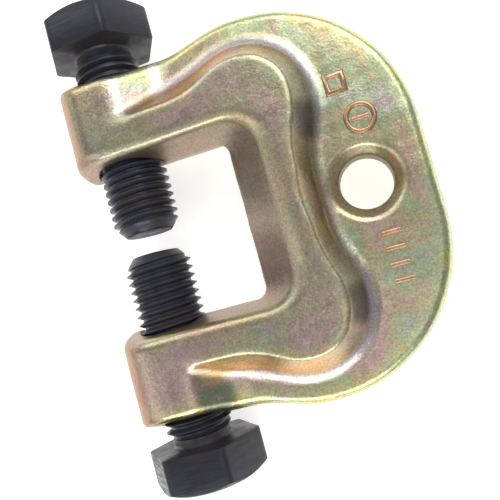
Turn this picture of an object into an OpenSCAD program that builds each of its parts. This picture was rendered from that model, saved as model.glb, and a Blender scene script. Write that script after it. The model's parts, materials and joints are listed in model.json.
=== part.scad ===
// Forged hanging clamp: a C-shaped body with a hanging eye and two opposed set bolts.
// The origin is the centre of the eye's bore. +Z is the normal of the front face,
// X runs from the bolts to the eye, and Y runs along the bolts.

/* [Eye plate] */
// Diameter of the eye's bore
eye_d = 15; // [12:0.5:20]
// Diameter of the eye's mouth, at the plate's faces
eye_mouth_d = 21; // [17:0.5:24]
// Depth of the eye's mouth on each face
eye_mouth_h = 3; // [1:0.5:3]
// Thickness of the outer plate
plate_t = 14; // [10:1:16]
// Radius of the plate's two large corners
rim_r = 43; // [38:0.5:46]
// Distance from the eye to the plate's straight edge
rim_x = 18.5; // [14:0.5:24]
// Half of the plate's straight edge
rim_flat = 13.3; // [8:0.1:20]

/* [Arms] */
// Distance from the eye to the bolts' axis
bolt_axis_x = 66; // [60:1:80]
// Distance from the bolts' axis to the arms' ends
arm_end = 15; // [13:0.5:20]
// Half of the body's height over the arms, at the middle of its thickness
arm_half_h = 53; // [50:0.5:55]
// How much the arms' outer sides lean in towards each face
arm_draft = 4; // [2:0.5:7]
// Radius of the arms' ends
arm_end_r = 12; // [5:1:13]
// Distance from the bolts' axis to the top of the ramp down to the plate
ramp_start = 3; // [2:0.5:6]
// Length of that ramp
ramp_l = 14; // [10:1:20]

/* [Rib] */
// Thickness over the rib and the arms' ends
rib_t = 30; // [26:1:34]
// Width of the rib's flat top along an arm
rib_arm_w = 7.8; // [5:0.2:10]
// Width of the rib's flat top along the back
rib_back_w = 5; // [4:0.5:8]
// Width of the slope from the rib's top to the plate
rib_slope = 6.5; // [5:0.5:8]
// Radius of the rib's top where it turns a corner
lobe_r = 11.5; // [10:0.5:13]
// Distance from the middle to the centre of that corner
lobe_y = 29.5; // [28:0.5:31]

/* [Jaw window] */
// Height of the window at the middle of the thickness
window_h = 47; // [44:1:50]
// Distance from the bolts' axis to the window's back wall
window_depth = 30.5; // [26:0.5:32]
// How much the window's upper and lower walls lean out to each face
window_lean = 3.2; // [2:0.2:5]
// How much the window's back wall leans out to each face
window_back_lean = 13.5; // [10:0.5:14]
// Corner radius of the window at the middle of the thickness
window_r = 3.5; // [2:0.5:5]
// Corner radius of the window at the faces
window_face_r = 10; // [6:1:12]

/* [Bolts] */
// Diameter of the bolts' thread, M20
bolt_d = 20; // [18:1:20]
// Radial play of a bolt in its arm
bolt_play = 0.05; // [0.02:0.01:0.1]
// Length of a bolt under its head
shank_l = 57; // [54:0.5:58]
// Width of the head across its flats
head_af = 30; // [28:1:30]
// Height of the head
head_h = 11.5; // [10:0.5:14]
// Length of the bolt's pointed end
point_l = 3.6; // [2:0.2:5]
// Radius of the flat face on the bolt's end
point_r = 7; // [5:0.2:8]
// Gap from the middle of the jaw to the upper bolt's end
upper_gap = 4.2; // [3.5:0.1:6]
// Gap from the middle of the jaw to the lower bolt's end
lower_gap = 2.3; // [2:0.1:6]
// Turn of the upper head about its bolt
upper_turn = 4; // [-30:1:30]
// Turn of the lower head about its bolt
lower_turn = -4; // [-30:1:30]

/* [Marks] */
// Height of the raised marks on the plate
mark_h = 0.5; // [0.3:0.1:0.8]
// Width of a raised line
mark_w = 1.4; // [0.8:0.1:1.6]
// Outer radius of the raised ring
ring_r = 4.5; // [3:0.5:5]
// Side of the raised square
square_w = 6; // [4:0.5:7]
// Length of a raised bar
bar_l = 5; // [3:0.5:6]
// Distance from one bar to the next
bar_step = 4.4; // [3:0.2:5]
// Number of raised bars
bar_count = 4; // [2:1:4]

/* [Hidden] */
$fn = 96;

plate_z = plate_t / 2;
rib_z = rib_t / 2;
arm_tip_x = -bolt_axis_x - arm_end;
corner_x = rim_x - rim_r;

window_half = window_h / 2;
window_x = window_depth - bolt_axis_x;
rib_in_y = window_half + window_lean;
rib_out_y = rib_in_y + rib_arm_w;
rib_in_x = window_x + window_back_lean;
rib_out_x = rib_in_x + rib_back_w;

ramp_x0 = ramp_start - bolt_axis_x;
ramp_x1 = ramp_x0 + ramp_l;

// How far the marks are rooted in the plate, and how far a cutter passes its face.
root = 1;
square_at = [-1, 28];
ring_at = [3, 17];
bars_at = [2.5, -15];

head_corner_r = head_af / sqrt(3);
chamfer_r = 0.47 * head_af;
chamfer_fall = tan(30);

forged_colour = "darkkhaki";
bolt_colour = "dimgray";

// A section in the YZ plane, drawn as [y, z] points, run along X from x0 to x1.
module along_x(x0, x1) {
    translate([x0, 0, 0])
        rotate([90, 0, 90])
            linear_extrude(x1 - x0)
                children();
}

// A section in the XZ plane, drawn as [x, z] points, run along Y from y0 to y1.
module along_y(y0, y1) {
    translate([0, y1, 0])
        rotate([90, 0, 0])
            linear_extrude(y1 - y0)
                children();
}

// The same shape above and below the middle of the jaw.
module both_arms() {
    children();
    mirror([0, 1, 0]) children();
}

// The same shape on the front and the back face.
module both_faces() {
    children();
    mirror([0, 0, 1]) children();
}

// The outer plate: two large round corners, a straight edge and two arms.
module plate() {
    linear_extrude(plate_t, center = true) {
        both_arms() {
            translate([corner_x, rim_flat]) circle(rim_r);
            translate([arm_tip_x + arm_end_r, 0])
                square([corner_x - arm_tip_x - arm_end_r, arm_half_h]);
        }
        translate([corner_x, -rim_flat]) square([rim_r, 2 * rim_flat]);
    }
}

// Side view of an arm: a round end, a thick boss and a ramp down to the plate.
module arm_side_view() {
    boss_l = ramp_x0 - arm_tip_x - arm_end_r;
    for (s = [-1, 1])
        translate([arm_tip_x + arm_end_r, s * (rib_z - arm_end_r)]) circle(arm_end_r);
    translate([arm_tip_x, arm_end_r - rib_z])
        square([arm_end_r, 2 * (rib_z - arm_end_r)]);
    translate([arm_tip_x + arm_end_r, -rib_z]) square([boss_l, rib_t]);
    polygon([[ramp_x0, -rib_z], [ramp_x1, -plate_z], [ramp_x1, plate_z], [ramp_x0, rib_z]]);
}

// End of the upper arm, with its outer side leaning in towards both faces.
module arm() {
    outer = arm_half_h - arm_draft;
    intersection() {
        along_x(arm_tip_x, ramp_x1)
            polygon([[0, -rib_z], [outer, -rib_z], [arm_half_h, 0], [outer, rib_z], [0, rib_z]]);
        along_y(0, arm_half_h) arm_side_view();
    }
}

// Raised rib along the upper arm and around its corner.
module arm_rib() {
    foot = rib_out_y + rib_slope;
    along_x(ramp_x0 - arm_end_r, corner_x)
        polygon([
            [0, -rib_z], [rib_out_y, -rib_z], [foot, -plate_z],
            [foot, plate_z], [rib_out_y, rib_z], [0, rib_z]
        ]);
    both_faces()
        translate([corner_x, lobe_y, 0]) {
            cylinder(h = plate_z, r = lobe_r + rib_slope);
            translate([0, 0, plate_z])
                cylinder(h = rib_z - plate_z, r1 = lobe_r + rib_slope, r2 = lobe_r);
        }
}

// Raised rib along the back, between the two arms.
module back_rib() {
    foot = rib_out_x + rib_slope - 1;
    along_y(-lobe_y, lobe_y)
        polygon([
            [window_x, -rib_z], [rib_out_x, -rib_z], [foot, -plate_z],
            [foot, plate_z], [rib_out_x, rib_z], [window_x, rib_z]
        ]);
}

// Outline of the window at one height, open to the left of the arms.
module window_slice(half_h, back_x, r) {
    linear_extrude(0.01) {
        for (s = [-1, 1])
            translate([back_x - r, s * (half_h - r)]) circle(r, $fn = 32);
        translate([2 * arm_tip_x, -half_h])
            square([back_x - r - 2 * arm_tip_x, 2 * half_h]);
    }
}

// The jaw window, which widens from the middle of the thickness to each face.
module window() {
    reach = 1.1;
    both_faces()
        hull() {
            window_slice(window_half, window_x, window_r);
            translate([0, 0, reach * rib_z])
                window_slice(
                    window_half + reach * window_lean,
                    window_x + reach * window_back_lean,
                    window_face_r
                );
        }
}

// Bore of the hanging eye, with a mouth on each face.
module eye() {
    cylinder(h = 2 * rib_t, r = eye_d / 2, center = true);
    both_faces()
        translate([0, 0, plate_z - eye_mouth_h])
            cylinder(
                h = eye_mouth_h + root,
                r1 = eye_d / 2,
                r2 = eye_mouth_d / 2 + root * (eye_mouth_d - eye_d) / (2 * eye_mouth_h)
            );
}

// Hole through both arms, which the two bolts run in.
module bolt_holes() {
    translate([-bolt_axis_x, 0, 0])
        rotate([90, 0, 0])
            cylinder(h = 4 * arm_half_h, r = bolt_d / 2 + bolt_play, center = true);
}

// Plain raised marks on the front of the plate: a square, a ring round a bar, and more bars.
module marks() {
    translate([0, 0, plate_z - root])
        linear_extrude(root + mark_h) {
            translate(square_at)
                difference() {
                    square(square_w, center = true);
                    square(square_w - 2 * mark_w, center = true);
                }
            translate(ring_at) {
                difference() {
                    circle(ring_r);
                    circle(ring_r - mark_w);
                }
                square([ring_r, mark_w], center = true);
            }
            for (i = [0:bar_count - 1])
                translate(bars_at - [0, i * bar_step]) square([bar_l, mark_w], center = true);
        }
}

module forged_body() {
    color(forged_colour) {
        difference() {
            union() {
                plate();
                both_arms() {
                    arm();
                    arm_rib();
                }
                back_rib();
                marks();
            }
            window();
            eye();
            bolt_holes();
        }
    }
}

// Hexagonal head with its outer corners chamfered, from z = 0 up.
module head(turn) {
    intersection() {
        rotate([0, 0, -turn]) cylinder(h = head_h, r = head_corner_r, $fn = 6);
        rotate_extrude()
            polygon([
                [0, 0], [head_corner_r, 0],
                [head_corner_r, head_h - chamfer_fall * (head_corner_r - chamfer_r)],
                [chamfer_r, head_h], [0, head_h]
            ]);
    }
}

// Bolt along Z, with its head above z = 0 and its pointed end below.
module bolt(turn) {
    color(bolt_colour) {
        head(turn);
        rotate_extrude()
            polygon([
                [0, 0.5], [bolt_d / 2, 0.5], [bolt_d / 2, point_l - shank_l],
                [point_r, -shank_l], [0, -shank_l]
            ]);
    }
}

module upper_bolt() {
    translate([-bolt_axis_x, upper_gap + shank_l, 0])
        rotate([-90, 0, 0])
            bolt(upper_turn);
}

module lower_bolt() {
    translate([-bolt_axis_x, -lower_gap - shank_l, 0])
        rotate([90, 0, 0])
            bolt(-lower_turn);
}

forged_body();
upper_bolt();
lower_bolt();
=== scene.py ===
import json
import math

import bmesh
import bpy
import numpy as np
import openvdb
from mathutils import Matrix, Vector


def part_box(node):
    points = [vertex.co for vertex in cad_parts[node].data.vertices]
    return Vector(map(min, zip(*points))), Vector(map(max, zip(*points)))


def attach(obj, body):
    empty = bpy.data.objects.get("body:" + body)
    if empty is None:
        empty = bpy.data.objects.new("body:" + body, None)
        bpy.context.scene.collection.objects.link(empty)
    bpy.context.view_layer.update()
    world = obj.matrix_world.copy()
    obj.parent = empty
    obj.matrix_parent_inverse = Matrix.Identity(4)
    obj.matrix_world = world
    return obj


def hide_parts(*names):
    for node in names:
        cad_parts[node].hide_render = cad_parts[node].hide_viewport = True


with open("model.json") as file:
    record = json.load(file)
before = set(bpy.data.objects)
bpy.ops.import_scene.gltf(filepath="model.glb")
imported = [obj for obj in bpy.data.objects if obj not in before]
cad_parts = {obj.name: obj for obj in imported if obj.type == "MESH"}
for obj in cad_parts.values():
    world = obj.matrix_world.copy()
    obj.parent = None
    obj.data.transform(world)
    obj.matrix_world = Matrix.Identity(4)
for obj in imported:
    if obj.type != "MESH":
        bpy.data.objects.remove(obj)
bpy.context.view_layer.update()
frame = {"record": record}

# Lengths in this script are millimetres, and MM turns them into Blender's metres.
MM = 0.001

# ---------------------------------------------------------------- sizes from the frame


def box_mm(node):
    low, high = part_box(node)
    return low / MM, high / MM


body_low, body_high = box_mm("forged_body")
upper_low, upper_high = box_mm("upper_bolt")
lower_low, lower_high = box_mm("lower_bolt")
mounts = {m["name"]: m for m in frame["record"]["mounts"]}

arm_tip_x = body_low.x
rim_x = body_high.x
rib_z = body_high.z
eye_r = mounts["hanging_eye"]["dims"]["r_mm"]
bolt_x = (upper_low.x + upper_high.x) / 2
floor_z = min(body_low.z, upper_low.z, lower_low.z)

# ---------------------------------------------------------------- sizes of the forging

plate_z = 7.0
rim_r = 43.0
rim_centre_x = rim_x - rim_r
rim_centre_y = body_high.y - rim_r
rim_lean = 0.10
rim_edge_r = 2.6
flash_h = 0.2

arm_half_h = 53.0
arm_lean = 0.27
arm_right_x = -34.0
arm_corner_r = 4.0
arm_end_r = 12.0
ramp_x = bolt_x + 3.0
ramp_slope = 8.0 / 14.0

window_half_h = 23.5
window_back_x = bolt_x + 30.5
window_r = 3.5
window_face_r = 11.0
window_lean = 3.2
window_back_lean = 13.5
window_edge_r = 3.0

rib_arm_y = 34.5
rib_back_x = window_back_x + window_back_lean + 4.8
rib_slope = 8.0 / 6.4
rib_back_slope = 8.0 / 4.8
lobe_x = rim_centre_x - 0.5
lobe_y = 29.6
lobe_r = 11.5
rib_edge_r = 0.9
ramp_edge_r = 2.5
rib_foot_r = 2.2

eye_mouth_r = 10.4
eye_mouth_h = 3.0
tapped_r = 10.05
tapped_edge_r = 0.5
land_half = 0.9
voxel = 0.5

# ---------------------------------------------------------------- sizes of the raised marks

mark_h = 0.5
mark_w = 1.4
mark_root = 0.4
square_w = 6.0
square_at = Vector((-1.0, 28.0))
ring_r = 4.5
ring_at = Vector((3.0, 17.0))
ring_steps = 48
bar_l = 5.0
bar_step = 4.4
bar_count = 4
bars_at = Vector((2.5, -15.0))

# ---------------------------------------------------------------- sizes of the bolts

pitch = 2.5
thread_r = 10.0
thread_depth = 1.53
neck_r = 8.4
neck_l = 2.5
point_r = 7.0
point_l = 3.6
head_h = 11.5
head_across_flats = 30.0
head_edge_r = 0.35
chamfer_r = 0.47 * head_across_flats
head_corner_degrees = 86.0
upper_thread_start = 1.4
lower_thread_start = 0.75

# ---------------------------------------------------------------- the forging's field
# The forging is the set of points where field() is negative. Each part of it is a distance
# in millimetres, and the parts meet in rounded edges and fillets.


def round_max(a, b, r):
    """Meet of two solids, with an outer edge of radius r."""
    corner = np.hypot(np.maximum(a + r, 0.0), np.maximum(b + r, 0.0))
    return np.minimum(-r, np.maximum(a, b)) + corner


def round_min(a, b, r):
    """Join of two solids, with a fillet of radius r."""
    return -round_max(-a, -b, r)


def soft_min(a, b, width):
    """Join of two outlines that blend gently over a width."""
    share = np.maximum(width - np.abs(a - b), 0.0) / width
    return np.minimum(a, b) - share * share * width / 4


def ease(low, high, value):
    """0 below low, 1 above high, and a smooth change between."""
    t = np.clip((value - low) / (high - low), 0.0, 1.0)
    return t * t * (3 - 2 * t)


def between(none_below, full_from, full_to, none_above, value):
    """1 over a range, and 0 outside a wider one, with a smooth change between."""
    return ease(none_below, full_from, value) * ease(none_above, full_to, value)


def above_land(z):
    """Height above the narrow land that trimming leaves round the middle of the thickness."""
    return np.maximum(np.abs(z) - land_half, 0.0)


def outline(x, y, z):
    """Distance outside the forging's outer outline."""
    v = np.abs(y)
    a = above_land(z)
    disc = np.hypot(x - rim_centre_x, np.maximum(v - rim_centre_y, 0.0)) - rim_r + rim_lean * a
    past_tip = arm_tip_x + arm_corner_r - x
    past_side = v - (arm_half_h - arm_lean * a - arm_corner_r)
    arm = (
        np.hypot(np.maximum(past_tip, 0.0), np.maximum(past_side, 0.0))
        + np.minimum(np.maximum(past_tip, past_side), 0.0)
        - arm_corner_r
    )
    arm = np.maximum(arm, x - arm_right_x)
    flash = flash_h * ease(land_half + 0.5, land_half, np.abs(z)) * ease(ramp_x - 8.0, ramp_x, x)
    return soft_min(disc, arm, 3.0) + flash_h * ease(ramp_x - 8.0, ramp_x, x) - flash


def rib_outline(x, y):
    """Distance outside the outline of the rib's flat top: a strip along each arm, a round
    lobe at each corner and a strip along the back. Each strip has a round end in the lobe."""
    v = np.abs(y)
    arm = round_max(v - rib_arm_y, x - lobe_x - 4.0, 12.0)
    lobe = np.hypot(x - lobe_x, v - lobe_y) - lobe_r
    back = round_max(x - rib_back_x, v - lobe_y - 4.0, 12.0)
    return soft_min(soft_min(arm, lobe, 12.0), back, 6.0)


def rib_steepness(y):
    """The rib's slope is steeper along the back than round its corners."""
    return rib_back_slope + (rib_slope - rib_back_slope) * ease(8.0, 24.0, np.abs(y))


def face(x, y, z):
    """Distance above the face: plate, ramps and rib."""
    a = np.abs(z)
    top = a - rib_z
    plate = a - plate_z
    ramp = (top + ramp_slope * (x - ramp_x)) / math.hypot(1.0, ramp_slope)
    steep = rib_steepness(y)
    rib = (top + steep * rib_outline(x, y)) / np.hypot(1.0, steep)
    low = round_min(round_min(plate, rib, rib_foot_r), ramp, rib_foot_r)
    edge_r = rib_edge_r + (ramp_edge_r - rib_edge_r) * ease(ramp_x + 8.0, ramp_x - 2.0, x)
    return round_max(top, low, edge_r)


def window_outline(x, y, a):
    """Distance inside the jaw window at a height above the middle."""
    t = a / rib_z
    r = window_r + (window_face_r - window_r) * t
    past_back = x - (window_back_x + window_back_lean * t - r)
    past_side = np.abs(y) - (window_half_h + window_lean * t - r)
    outside = (
        np.hypot(np.maximum(past_back, 0.0), np.maximum(past_side, 0.0))
        + np.minimum(np.maximum(past_back, past_side), 0.0)
        - r
    )
    return -outside


def window(x, y, z):
    """The same distance, measured square to the leaning walls."""
    a = above_land(z)
    step = 0.1
    here = window_outline(x, y, a)
    lean = (window_outline(x, y, a + step) - here) / step
    return here / np.hypot(1.0, lean)


def waviness(x, y, z):
    """The slight unevenness of a hammered surface."""
    broad = np.sin(0.31 * x + 0.17 * y + 1.3) * np.sin(0.23 * y - 0.12 * x + 0.4 * z)
    fine = np.sin(0.83 * x - 0.54 * y + 2.1) * np.sin(0.71 * y + 0.62 * x + 0.9 * z + 0.5)
    return 0.07 * broad + 0.025 * fine


def eye_mouth(x, y, z):
    """Distance inside the cone that widens the eye at each face."""
    slope = (eye_mouth_r - eye_r) / eye_mouth_h
    cone_r = eye_r + slope * (np.abs(z) - plate_z + eye_mouth_h)
    return (cone_r - np.hypot(x, y)) / math.hypot(1.0, slope)


def tapped_hole(x, y, z):
    return tapped_r - np.hypot(x - bolt_x, z)


def field(x, y, z):
    side = outline(x, y, z)
    solid = round_max(side, face(x, y, z), rim_edge_r)
    arm_end = round_max(arm_tip_x - x, np.abs(z) - rib_z, arm_end_r)
    solid = round_max(solid, arm_end, 1.0)
    solid = round_max(solid, window(x, y, z), window_edge_r)
    solid = solid + waviness(x, y, z)
    solid = round_max(round_max(solid, eye_mouth(x, y, z), 0.8), eye_r - np.hypot(x, y), 0.4)
    return round_max(solid, tapped_hole(x, y, z), tapped_edge_r)


def field_gradient(points):
    step = 0.02
    gradient = np.empty_like(points)
    for axis in range(3):
        ahead = points.copy()
        behind = points.copy()
        ahead[:, axis] += step
        behind[:, axis] -= step
        gradient[:, axis] = (field(*ahead.T) - field(*behind.T)) / (2 * step)
    return gradient


# ---------------------------------------------------------------- meshes


def mesh_object(name, points, faces):
    """A smooth-shaded object from points in millimetres."""
    mesh = bpy.data.meshes.new(name)
    mesh.from_pydata((np.asarray(points) * MM).tolist(), [], [tuple(f) for f in faces])
    mesh.validate()
    mesh.polygons.foreach_set("use_smooth", [True] * len(mesh.polygons))
    obj = bpy.data.objects.new(name, mesh)
    bpy.context.collection.objects.link(obj)
    return obj


def object_from(work, name, sharp_degrees):
    """An object from a bmesh, smooth-shaded but for edges sharper than an angle."""
    bmesh.ops.recalc_face_normals(work, faces=work.faces)
    mesh = bpy.data.meshes.new(name)
    work.to_mesh(mesh)
    work.free()
    mesh.polygons.foreach_set("use_smooth", [True] * len(mesh.polygons))
    mesh.set_sharp_from_angle(angle=math.radians(sharp_degrees))
    obj = bpy.data.objects.new(name, mesh)
    bpy.context.collection.objects.link(obj)
    return obj


def add_weight(obj, name, values):
    """Stores one number for each vertex, for the material to read."""
    layer = obj.data.attributes.new(name, "FLOAT", "POINT")
    layer.data.foreach_set("value", np.asarray(values, np.float32))


def weigh_forging(obj, x, y, z):
    """Marks out the zones of the forging that the material tints in their own ways, painted light and
    shade among them.
    """
    height = np.abs(z)
    out = rib_outline(x, y)
    past_ramp = x - ramp_x
    past_lobe = x - lobe_x
    on_window = window(x, y, z)
    from_eye = np.hypot(x, y) - eye_r
    past_start = ease(0.0, 12.0, past_ramp)
    off_rib = ease(1.0, 3.0, out)
    off_window = ease(-1.5, -4.0, on_window)

    # The rib's slope: copper, strongest along the arms, partly the chromate's colour and partly a
    # painted reflection of the plate.
    on_slope = between(0.0, 1.2, 6.2, 8.6, out) * ease(plate_z, plate_z + 1.2, height)
    along_arms = 0.25 + 0.75 * ease(9.0, -1.0, past_lobe)
    add_weight(obj, "band", on_slope * off_window * along_arms * past_start)
    # Painted dark reflection on the slope's stretches by the lobes and along the back.
    beside_lobe = between(11.0, 17.0, 23.0, 30.0, y) + between(-41.0, -34.0, -28.0, -21.0, y)
    beside_lobe = beside_lobe * ease(6.0, 14.0, past_lobe)
    beside_back = 0.5 * ease(3.0, 10.0, past_lobe)
    add_weight(obj, "shade", on_slope * off_window * np.maximum(beside_lobe, beside_back))

    # Painted highlights: a pale line at the bottom of the rib's slope, and two pale lines across the
    # upper arm's ramp.
    at_foot = between(4.6, 5.8, 7.0, 8.4, out) * ease(plate_z + 3.0, plate_z + 1.0, height)
    at_foot = at_foot * (0.25 + 0.75 * ease(16.0, 32.0, np.abs(y))) * off_window * past_start
    ramp_ends = between(-1.0, 1.5, 3.0, 4.5, past_ramp) + between(11.5, 13.0, 14.5, 16.0, past_ramp)
    painted_ramp_highlights = 0.8 * ramp_ends * off_rib * ease(10.0, 20.0, y)
    add_weight(obj, "foot", np.maximum(at_foot, painted_ramp_highlights))

    # A painted dark reflection: the patch between those lines, which is fainter on the upper arm.
    painted_ramp_reflection = between(2.5, 4.5, 11.5, 13.5, past_ramp) * off_rib
    add_weight(obj, "ramp", painted_ramp_reflection * (1.0 - 0.5 * ease(0.0, 20.0, y)))

    add_weight(obj, "rim", ease(-7.0, 0.0, outline(x, y, z)))
    # The window's inner walls, which the material darkens as painted shade.
    add_weight(obj, "wall", ease(-3.0, -0.4, on_window) * ease(rib_z - 0.4, rib_z - 3.0, height))
    add_weight(obj, "eye", ease(6.0, 1.5, from_eye))
    # The eye's bore, which the material darkens as painted shade.
    add_weight(obj, "bore", ease(0.5, 0.1, from_eye))
    add_weight(obj, "raised", ease(rib_z - 2.0, rib_z - 0.5, height))
    border = np.maximum(ease(-4.0, -0.5, out) * past_start, ease(-4.5, -1.0, on_window))
    add_weight(obj, "border", ease(rib_z - 4.0, rib_z - 0.5, height) * border)
    add_weight(obj, "end", ease(arm_tip_x + 13.0, arm_tip_x + 3.0, x))


def make_forging():
    """The field's surface, meshed on a grid and then pulled onto the exact shape."""
    margin = 2.0
    deepest = 3.0
    pull_steps = 4
    longest_pull = 0.3
    low = np.array(body_low) - margin
    high = np.array(body_high) + margin
    axes = [np.arange(low[i], high[i] + voxel, voxel) for i in range(3)]
    x, y, z = np.meshgrid(*axes, indexing="ij", sparse=True)
    values = np.clip(field(x, y, z), -deepest, deepest).astype(np.float32)
    grid = openvdb.FloatGrid(deepest)
    grid.copyFromArray(values)
    points, quads = grid.convertToQuads(isovalue=0.0)
    points = points.astype(float) * voxel + low
    for _ in range(pull_steps):
        value = field(*points.T)
        gradient = field_gradient(points)
        size = np.maximum((gradient**2).sum(axis=1), 0.05)
        points -= np.clip(value / size, -longest_pull, longest_pull)[:, None] * gradient
    obj = mesh_object("forging", points, quads)
    weigh_forging(obj, *points.T)
    return obj


def raised_line(work, path, closed):
    """A line with a rounded top that stands on the plate's front face, along a path."""
    top = plate_z + mark_h
    root = plate_z - mark_root
    left = [(-0.5, root), (-0.5, top - 0.3), (-0.28, top)]
    section = left + [(-share, z) for share, z in reversed(left)]
    count = len(path)
    rows = []
    for i, point in enumerate(path):
        before = path[i - 1] if closed or i > 0 else 2 * point - path[i + 1]
        after = path[(i + 1) % count] if closed or i < count - 1 else 2 * point - path[i - 1]
        along = (point - before).normalized()
        middle = (along + (after - point).normalized()).normalized()
        across = Vector((-middle.y, middle.x)) / middle.dot(along) * mark_w
        row = []
        for share, z in section:
            place = point + across * share
            row.append(work.verts.new(Vector((place.x, place.y, z)) * MM))
        rows.append(row)
    sides = len(section)
    for i in range(count if closed else count - 1):
        a, b = rows[i], rows[(i + 1) % count]
        for k in range(sides):
            m = (k + 1) % sides
            work.faces.new((a[k], b[k], b[m], a[m]))
    if not closed:
        work.faces.new(rows[0])
        work.faces.new(rows[-1][::-1])


def make_marks():
    """Plain raised marks: a square, a ring round a bar, and four more bars."""
    work = bmesh.new()
    half = (square_w - mark_w) / 2
    corners = ((-half, -half), (half, -half), (half, half), (-half, half))
    raised_line(work, [square_at + Vector(corner) for corner in corners], True)
    middle_r = ring_r - mark_w / 2
    turns = [math.tau * i / ring_steps for i in range(ring_steps)]
    circle = [Vector((middle_r * math.cos(t), middle_r * math.sin(t))) for t in turns]
    raised_line(work, [ring_at + point for point in circle], True)
    bars = [(ring_at, ring_r)]
    bars += [(bars_at - Vector((0.0, i * bar_step)), bar_l) for i in range(bar_count)]
    for middle, length in bars:
        end = Vector((length / 2, 0.0))
        raised_line(work, [middle - end, middle + end], False)
    obj = object_from(work, "raised_marks", sharp_degrees=50)
    add_weight(obj, "mark", np.ones(len(obj.data.vertices)))
    return obj


def thread_radius(along, turn, start):
    """Radius of a right-hand metric thread at a place along the bolt and a turn round it."""
    phase = np.mod((along - start) / pitch - turn / (2 * np.pi) + 0.5, 1.0) - 0.5
    from_crest = np.abs(phase)
    flank = (from_crest - 1 / 16) / (3 / 8 - 1 / 16)
    return thread_r - thread_depth * np.clip(flank, 0.0, 1.0)


def column_angles():
    """Angles of the mesh's columns: even, with a close set at each corner of the hexagon."""
    near_corner = [-1.4, -0.5, 0.5, 1.4]
    along_flat = np.linspace(1.4, 58.6, 16)[1:-1]
    sector = np.concatenate([near_corner, along_flat])
    every = (head_corner_degrees + 60.0 * np.arange(6)[:, None] + sector[None, :]).ravel()
    return np.radians(np.sort(np.mod(every, 360.0)))


def hexagon_radius(turn):
    """Radius of the head's hexagon in a direction, with its corners rounded off."""
    sector = np.mod(turn - math.radians(head_corner_degrees), math.pi / 3) - math.pi / 6
    sharp = head_across_flats / 2 / np.cos(sector)
    return np.minimum(sharp, head_across_flats / math.sqrt(3) - 0.24)


def shank_surface(tip_y, bearing_y, start, angle):
    """Rows of points along the thread's helix, from the tip's edge to the neck."""
    profile = np.array([-1 / 16, 1 / 16, 7 / 32, 3 / 8, 1 / 2, 5 / 8, 25 / 32])
    thread_end = bearing_y - neck_l
    first = math.floor((tip_y - start) / pitch) - 1
    turns = math.ceil((thread_end - tip_y) / pitch) + 3
    rows = start + pitch * (first + np.arange(turns)[:, None] + profile[None, :])
    along = rows.reshape(-1, 1) + pitch * angle[None, :] / (2 * np.pi)
    along = np.clip(along, tip_y, thread_end)
    radius = thread_radius(along, angle[None, :], start)
    cone = point_r + (thread_r - point_r) * (along - tip_y) / point_l
    run_out = neck_r + (thread_end - along) * 0.9
    radius = np.minimum(np.minimum(radius, cone), np.maximum(run_out, neck_r))
    return along, radius, len(profile)


def head_rings(bearing_y, angle):
    """Rings of the neck's fillet and the head, each a pair of heights and radii."""
    flat = np.ones(len(angle))
    corner = hexagon_radius(angle)
    top = bearing_y + head_h
    fillet = 1.3
    fall = math.tan(math.radians(30))
    chamfer_y = top - fall * np.maximum(corner - chamfer_r, 0)
    dish_r = 0.33 * head_across_flats
    dish_depth = 0.4
    rings = [((bearing_y - neck_l) * flat, neck_r * flat)]
    for degrees in (0, 30, 60, 90):
        t = math.radians(degrees)
        y = bearing_y - fillet * (1 - math.sin(t))
        r = neck_r + fillet * (1 - math.cos(t))
        rings.append((y * flat, r * flat))
    return rings + [
        (bearing_y * flat, corner - head_edge_r),
        ((bearing_y + 0.3 * head_edge_r) * flat, corner - 0.3 * head_edge_r),
        ((bearing_y + head_edge_r) * flat, corner),
        (chamfer_y - 0.6 * head_edge_r, corner),
        (chamfer_y + 0.4 * fall * head_edge_r, corner - 0.4 * head_edge_r),
        (top * flat - 0.15, np.full(len(angle), chamfer_r + 0.26)),
        (top * flat, np.full(len(angle), chamfer_r - 0.3)),
        (top * flat, (dish_r + 0.8) * flat),
        ((top - dish_depth) * flat, dish_r * flat),
        ((top - dish_depth) * flat, 0 * flat),
    ]


def make_bolt(name, tip_y, bearing_y, start):
    """A bolt with its head towards +Y. The lower one is made this way and then turned over."""
    angle = column_angles()
    around = len(angle)
    along, radius, per_turn = shank_surface(tip_y, bearing_y, start, angle)
    flat = np.ones(around)
    low_ends = [(tip_y * flat, r * flat) for r in (0.0, point_r - 0.8, point_r)]
    high_ends = head_rings(bearing_y, angle)
    work = bmesh.new()

    def place(y, r):
        sin, cos = np.sin(angle), np.cos(angle)
        return [
            work.verts.new(((bolt_x + r[i] * sin[i]) * MM, y[i] * MM, r[i] * cos[i] * MM))
            for i in range(around)
        ]

    def skin(row_a, row_b):
        for i in range(around):
            j = (i + 1) % around
            work.faces.new((row_a[i], row_a[j], row_b[j], row_b[i]))

    low_rows = [place(y, r) for y, r in low_ends]
    high_rows = [place(y, r) for y, r in high_ends]
    for rows in (low_rows, high_rows):
        for row_a, row_b in zip(rows, rows[1:]):
            skin(row_a, row_b)
    helix = [place(along[k], radius[k]) for k in range(len(along))]
    for k in range(len(helix) - 1):
        for i in range(around - 1):
            work.faces.new((helix[k][i], helix[k][i + 1], helix[k + 1][i + 1], helix[k + 1][i]))
    for k in range(len(helix) - 1 - per_turn):
        a, b = helix[k + per_turn], helix[k + 1 + per_turn]
        work.faces.new((helix[k][-1], a[0], b[0], helix[k + 1][-1]))
    bmesh.ops.remove_doubles(work, verts=work.verts, dist=1e-6)
    loose = [v for v in work.verts if not v.link_faces]
    bmesh.ops.delete(work, geom=loose, context="VERTS")
    obj = object_from(work, name, sharp_degrees=28)
    heights = np.array([v.co.y for v in obj.data.vertices]) / MM
    add_weight(obj, "head", ease(bearing_y - 0.6, bearing_y, heights))
    # The flat end of the point, which the material paints nearly black as painted shade.
    add_weight(obj, "tip", ease(tip_y + 0.4, tip_y + 0.1, heights))
    return obj


# ---------------------------------------------------------------- materials


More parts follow.
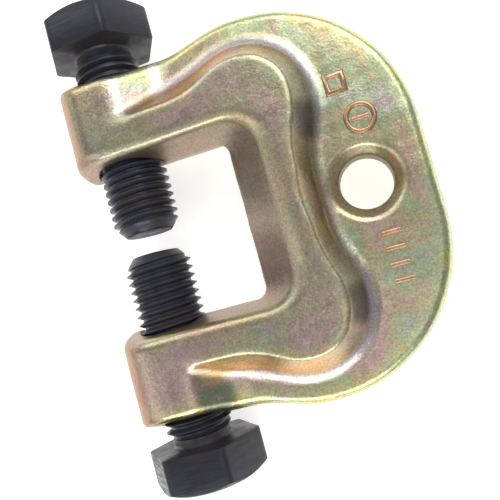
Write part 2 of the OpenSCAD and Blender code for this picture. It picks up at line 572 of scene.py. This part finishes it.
class Nodes:
    """Short calls for building one material's nodes."""

    def __init__(self, name):
        self.material = bpy.data.materials.new(name)
        self.material.use_nodes = True
        self.tree = self.material.node_tree
        self.shader = self.tree.nodes["Principled BSDF"]

    def new(self, kind, **settings):
        node = self.tree.nodes.new(kind)
        for key, value in settings.items():
            setattr(node, key, value)
        return node

    def link(self, out, into):
        self.tree.links.new(out, into)

    def place(self):
        return self.new("ShaderNodeTexCoord").outputs["Object"]

    def noise(self, size, detail=4.0, roughness=0.55, distortion=0.0, stretch=None):
        """Noise whose features are about size millimetres wide."""
        noise = self.new("ShaderNodeTexNoise")
        noise.inputs["Scale"].default_value = 1.0 / (size * MM)
        noise.inputs["Detail"].default_value = detail
        noise.inputs["Roughness"].default_value = roughness
        noise.inputs["Distortion"].default_value = distortion
        where = self.place()
        if stretch:
            mapping = self.new("ShaderNodeMapping")
            mapping.inputs["Scale"].default_value = stretch
            self.link(where, mapping.inputs["Vector"])
            where = mapping.outputs["Vector"]
        self.link(where, noise.inputs["Vector"])
        return noise.outputs["Fac"]

    def ramp(self, value, *stops):
        """A colour for each (position, colour) stop."""
        ramp = self.new("ShaderNodeValToRGB")
        points = ramp.color_ramp.elements
        while len(points) < len(stops):
            points.new(0.5)
        for point, (position, colour) in zip(points, stops):
            point.position = position
            point.color = (*colour, 1.0)
        self.link(value, ramp.inputs["Fac"])
        return ramp.outputs["Color"]

    def spread(self, value, low, high, to_low=0.0, to_high=1.0):
        node = self.new("ShaderNodeMapRange")
        node.inputs["From Min"].default_value = low
        node.inputs["From Max"].default_value = high
        node.inputs["To Min"].default_value = to_low
        node.inputs["To Max"].default_value = to_high
        self.link(value, node.inputs["Value"])
        return node.outputs["Result"]

    def mix(self, share, first, second, blend="MIX"):
        """Mixes two colours, each a socket or an RGB triple."""
        node = self.new("ShaderNodeMix", data_type="RGBA", blend_type=blend)
        sockets = {"Factor": share, "A": first, "B": second}
        for socket in node.inputs:
            if not socket.enabled or socket.name not in sockets:
                continue
            value = sockets[socket.name]
            if isinstance(value, bpy.types.NodeSocket):
                self.link(value, socket)
            elif isinstance(value, tuple):
                socket.default_value = (*value, 1.0)
            else:
                socket.default_value = value
        return next(s for s in node.outputs if s.enabled)

    def math(self, operation, first, second):
        node = self.new("ShaderNodeMath", operation=operation)
        for socket, value in zip(node.inputs, (first, second)):
            if isinstance(value, bpy.types.NodeSocket):
                self.link(value, socket)
            else:
                socket.default_value = value
        return node.outputs["Value"]

    def weight(self, name):
        return self.new("ShaderNodeAttribute", attribute_name=name).outputs["Fac"]

    def bump(self, height, depth, strength=1.0, under=None):
        node = self.new("ShaderNodeBump")
        node.inputs["Strength"].default_value = strength
        node.inputs["Distance"].default_value = depth * MM
        self.link(height, node.inputs["Height"])
        if under is not None:
            self.link(under, node.inputs["Normal"])
        return node.outputs["Normal"]


def chromate():
    """Zinc plate with an iridescent yellow chromate over a shot-blasted forging, with painted
    highlights, glints, reflections and shade in its tint.
    """
    n = Nodes("yellow_chromate")
    mottle = n.spread(n.noise(1.0, detail=3, roughness=0.7), 0.3, 0.7, -0.09, 0.09)
    clouds = n.math("ADD", n.noise(22, detail=3, distortion=0.8), mottle)
    clouds = n.math("SUBTRACT", clouds, n.math("MULTIPLY", n.weight("raised"), 0.08))
    tint = n.ramp(
        clouds,
        (0.34, (0.70, 0.48, 0.46)),
        (0.42, (0.66, 0.50, 0.40)),
        (0.48, (0.66, 0.56, 0.33)),
        (0.54, (0.54, 0.60, 0.36)),
        (0.60, (0.52, 0.60, 0.43)),
        (0.67, (0.66, 0.49, 0.50)),
    )
    green = n.ramp(
        n.math("ADD", n.noise(16, detail=2), mottle),
        (0.37, (0.92, 0.70, 0.28)),
        (0.47, (0.80, 0.80, 0.34)),
        (0.58, (0.62, 0.78, 0.44)),
        (0.66, (0.80, 0.66, 0.52)),
    )
    tint = n.mix(n.math("MULTIPLY", n.weight("rim"), 0.85), tint, green)
    tint = n.mix(n.math("MULTIPLY", n.weight("border"), 0.6), tint, green)
    gold = n.ramp(
        n.math("ADD", n.noise(12, detail=2), mottle),
        (0.40, (0.72, 0.54, 0.34)),
        (0.60, (0.66, 0.62, 0.36)),
    )
    tint = n.mix(n.math("MULTIPLY", n.weight("eye"), 0.55), tint, gold)
    tan = n.ramp(n.noise(14, detail=2), (0.40, (0.44, 0.21, 0.16)), (0.60, (0.42, 0.30, 0.20)))
    tint = n.mix(n.math("MULTIPLY", n.weight("end"), 0.9), tint, tan)
    # Painted dark reflection: a dark green patch on each arm's ramp.
    tint = n.mix(n.math("MULTIPLY", n.weight("ramp"), 0.8), tint, (0.25, 0.33, 0.23))
    copper = n.ramp(
        n.noise(18, detail=2),
        (0.38, (0.88, 0.50, 0.22)),
        (0.52, (0.80, 0.48, 0.30)),
        (0.64, (0.74, 0.48, 0.46)),
    )
    # Copper on the rib's slope: partly the chromate's colour, partly a painted reflection of the plate
    # in the slope.
    tint = n.mix(n.math("MULTIPLY", n.weight("band"), 0.75), tint, copper)
    # Painted dark reflection on the rib's slope by the lobes and along the back.
    tint = n.mix(n.math("MULTIPLY", n.weight("shade"), 0.95), tint, (0.120, 0.108, 0.092))
    # Painted highlights: pale lines at the bottom of the rib's slope and across the upper arm's ramp.
    tint = n.mix(n.math("MULTIPLY", n.weight("foot"), 0.7), tint, (0.86, 0.80, 0.82))
    tint = n.mix(n.math("MULTIPLY", n.weight("mark"), 0.9), tint, (0.64, 0.36, 0.21))
    # Painted shade: a darker brown on the window's inner walls.
    tint = n.mix(n.math("MULTIPLY", n.weight("wall"), 0.75), tint, (0.46, 0.35, 0.28))
    # Painted shade: dark brown inside the eye's bore.
    tint = n.mix(n.math("MULTIPLY", n.weight("bore"), 0.9), tint, (0.20, 0.17, 0.11))
    tint = n.mix(n.math("MULTIPLY", n.weight("raised"), 0.4), tint, (0.48, 0.40, 0.33))
    # Painted glints: sparse pale specks on the rib's flat top.
    painted_glints = n.spread(n.noise(0.7, detail=1), 0.66, 0.72, 0.0, 0.5)
    tint = n.mix(n.math("MULTIPLY", n.weight("raised"), painted_glints), tint, (0.96, 0.90, 0.84))
    grain = n.noise(0.6, detail=3, roughness=0.65)
    shade = n.spread(grain, 0.3, 0.7, 0.66, 1.24)
    speckle = n.new("ShaderNodeCombineColor")
    for channel in ("Red", "Green", "Blue"):
        n.link(shade, speckle.inputs[channel])
    tint = n.mix(1.0, tint, speckle.outputs["Color"], blend="MULTIPLY")
    n.link(tint, n.shader.inputs["Base Color"])
    n.shader.inputs["Metallic"].default_value = 1.0
    n.shader.inputs["Specular Tint"].default_value = (0.80, 0.68, 0.56, 1.0)
    n.shader.inputs["Coat Weight"].default_value = 0.5
    n.shader.inputs["Coat Roughness"].default_value = 0.26
    rough = n.spread(n.noise(5, detail=4), 0.3, 0.7, 0.27, 0.37)
    for name, more in (("bore", 0.35), ("wall", 0.12), ("band", 0.08)):
        rough = n.math("ADD", rough, n.math("MULTIPLY", n.weight(name), more))
    n.link(rough, n.shader.inputs["Roughness"])
    dents = n.bump(n.noise(1.6, detail=2), 0.10, strength=0.5)
    blast = n.bump(grain, 0.06, strength=1.0, under=dents)
    n.link(blast, n.shader.inputs["Normal"])
    return n.material


def black_oxide():
    """Satin black oxide on the bolts, a little brown and blue, with fine marks round the axis."""
    n = Nodes("black_oxide")
    streaks = n.noise(7, detail=3, stretch=(1.0, 9.0, 1.0))
    tint = n.ramp(
        n.math("ADD", n.noise(9, detail=3), n.spread(streaks, 0.3, 0.7, -0.08, 0.08)),
        (0.35, (0.078, 0.068, 0.078)),
        (0.55, (0.052, 0.056, 0.080)),
        (0.70, (0.070, 0.072, 0.102)),
    )
    tint = n.mix(n.math("MULTIPLY", n.weight("head"), 0.6), tint, (0.026, 0.025, 0.030))
    # Painted shade: the flat end of the point is nearly black and reflects little.
    tint = n.mix(n.weight("tip"), tint, (0.018, 0.017, 0.020))
    n.link(tint, n.shader.inputs["Base Color"])
    n.shader.inputs["Metallic"].default_value = 0.3
    n.link(n.spread(n.weight("tip"), 0.0, 1.0, 0.35, 0.05), n.shader.inputs["Specular IOR Level"])
    rough = n.spread(streaks, 0.35, 0.65, 0.23, 0.50)
    n.link(rough, n.shader.inputs["Roughness"])
    skin = n.bump(n.noise(0.7, detail=3), 0.03, strength=0.5)
    n.link(skin, n.shader.inputs["Normal"])
    return n.material


def paper():
    """A pale, plain floor."""
    n = Nodes("paper")
    tint = n.ramp(n.noise(40, detail=2), (0.3, (0.90, 0.90, 0.89)), (0.7, (0.92, 0.92, 0.91)))
    n.link(tint, n.shader.inputs["Base Color"])
    n.shader.inputs["Roughness"].default_value = 0.9
    n.shader.inputs["Specular IOR Level"].default_value = 0.1
    n.shader.inputs["Emission Color"].default_value = (1.0, 1.0, 1.0, 1.0)
    n.shader.inputs["Emission Strength"].default_value = 0.68
    return n.material


# ---------------------------------------------------------------- the object


def build_object():
    forging = make_forging()
    forging.data.materials.append(chromate())
    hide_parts("forged_body")
    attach(forging, "body")

    marks = make_marks()
    marks.data.materials.append(forging.data.materials[0])
    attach(marks, "body")

    black = black_oxide()
    upper = make_bolt("upper_set_bolt", upper_low.y, upper_high.y - head_h, upper_thread_start)
    turned_start = -lower_thread_start - pitch / 2
    lower = make_bolt("lower_set_bolt", -lower_high.y, -lower_low.y - head_h, turned_start)
    lower.data.transform(Matrix.Rotation(math.pi, 4, "X"))
    for bolt, node, body in (
        (upper, "upper_bolt", "upper_screw"),
        (lower, "lower_bolt", "lower_screw"),
    ):
        bolt.data.materials.append(black)
        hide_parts(node)
        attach(bolt, body)


# ---------------------------------------------------------------- the studio


def studio_dome():
    """A dim, even surround that looks pale to the camera."""
    world = bpy.data.worlds.new("studio")
    world.use_nodes = True
    tree = world.node_tree
    seen = tree.nodes.new("ShaderNodeLightPath").outputs["Is Camera Ray"]
    level = tree.nodes.new("ShaderNodeMapRange")
    level.inputs["To Min"].default_value = 0.28
    level.inputs["To Max"].default_value = 0.93
    tree.links.new(seen, level.inputs["Value"])
    tree.links.new(level.outputs["Result"], tree.nodes["Background"].inputs["Strength"])
    tree.nodes["Background"].inputs["Color"].default_value = (1.0, 1.0, 1.0, 1.0)
    return world


def area_light(name, towards, distance, width, height, brightness):
    """A softbox in a direction from the clamp, facing it. Its brightness is its radiance."""
    middle = Vector((-0.03, 0.0, 0.0))
    place = middle + Vector(towards).normalized() * distance
    data = bpy.data.lights.new(name, "AREA")
    data.shape = "RECTANGLE"
    data.size = width
    data.size_y = height
    data.energy = brightness * math.pi * width * height
    light = bpy.data.objects.new(name, data)
    light.location = place
    light.rotation_euler = (middle - place).to_track_quat("-Z", "Y").to_euler()
    bpy.context.collection.objects.link(light)


def build_studio():
    bpy.ops.mesh.primitive_plane_add(size=6.0, location=(0, 0, floor_z * MM))
    floor = bpy.context.object
    floor.name = "floor"
    floor.data.materials.append(paper())

    bpy.context.scene.world = studio_dome()
    bpy.context.scene.view_settings.view_transform = "Standard"
    area_light("key_softbox", (0.35, 0.62, 0.70), 0.60, 0.42, 0.42, 2.7)
    area_light("far_softbox", (-0.40, 0.72, 0.56), 0.60, 0.40, 0.30, 1.4)
    area_light("left_softbox", (-0.70, -0.30, 0.65), 0.60, 0.40, 0.40, 0.8)
    area_light("low_softbox", (-0.95, 0.20, 0.22), 0.60, 0.70, 0.24, 0.45)
    area_light("overhead_softbox", (0.12, -0.26, 0.96), 0.60, 0.22, 0.22, 0.9)
    area_light("near_softbox", (-0.10, -0.85, 0.50), 0.60, 0.50, 0.22, 3.5)


def build_camera():
    """The camera looks down on the clamp, turned so that the bolts lean in the picture."""
    place = Vector((-3.9, -19.3, 164.4)) * MM
    aim = Vector((-37.4, -9.0, 0.0)) * MM
    lean = math.radians(15.6)
    ahead = (aim - place).normalized()
    right = ahead.cross(Vector((math.sin(lean), math.cos(lean), 0.0))).normalized()
    up = right.cross(ahead)
    data = bpy.data.cameras.new("camera")
    data.lens = 41.25
    data.sensor_width = 36.0
    data.clip_start = 0.01
    camera = bpy.data.objects.new("camera", data)
    camera.matrix_world = Matrix.Translation(place) @ Matrix((right, up, -ahead)).transposed().to_4x4()
    bpy.context.collection.objects.link(camera)
    bpy.context.scene.camera = camera


build_camera()
build_object()
build_studio()
